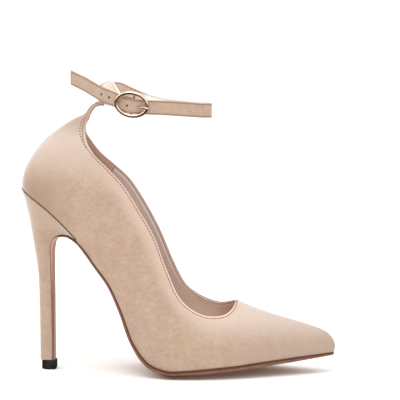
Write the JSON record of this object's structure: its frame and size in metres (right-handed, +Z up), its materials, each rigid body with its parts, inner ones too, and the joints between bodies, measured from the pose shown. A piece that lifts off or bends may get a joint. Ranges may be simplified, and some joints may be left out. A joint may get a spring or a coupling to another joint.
{
  "type": "stiletto heel",
  "caption": "Pointed-toe suede stiletto heel with a centre-back tab and a buckled ankle strap, for the right foot.",
  "frame": {"origin": "on the floor, under the middle of the shoe's box", "axes": "+X from heel to toe, +Y to the inner (medial) side, +Z up"},
  "size_m": [0.2078, 0.0779, 0.199],
  "materials": {
    "suede": "napped suede, nude beige",
    "sole_leather": "smooth brown sole leather",
    "lining_leather": "smooth lining leather",
    "heel_suede": "suede cover on a hard heel",
    "tip_rubber": "matt black",
    "strap_suede": "napped suede with a smooth lining",
    "loop_leather": "suede with a pale smooth lining",
    "buckle_metal": "polished pale gold plate"
  },
  "bodies": {
    "root": {"upper": "suede", "outsole": "sole_leather", "insole": "lining_leather", "heel": "heel_suede", "heel_tip": "tip_rubber", "ankle_strap": "strap_suede", "tab_loop": "loop_leather", "buckle_frame": "buckle_metal", "buckle_prong": "buckle_metal"}
  },
  "joints": []
}
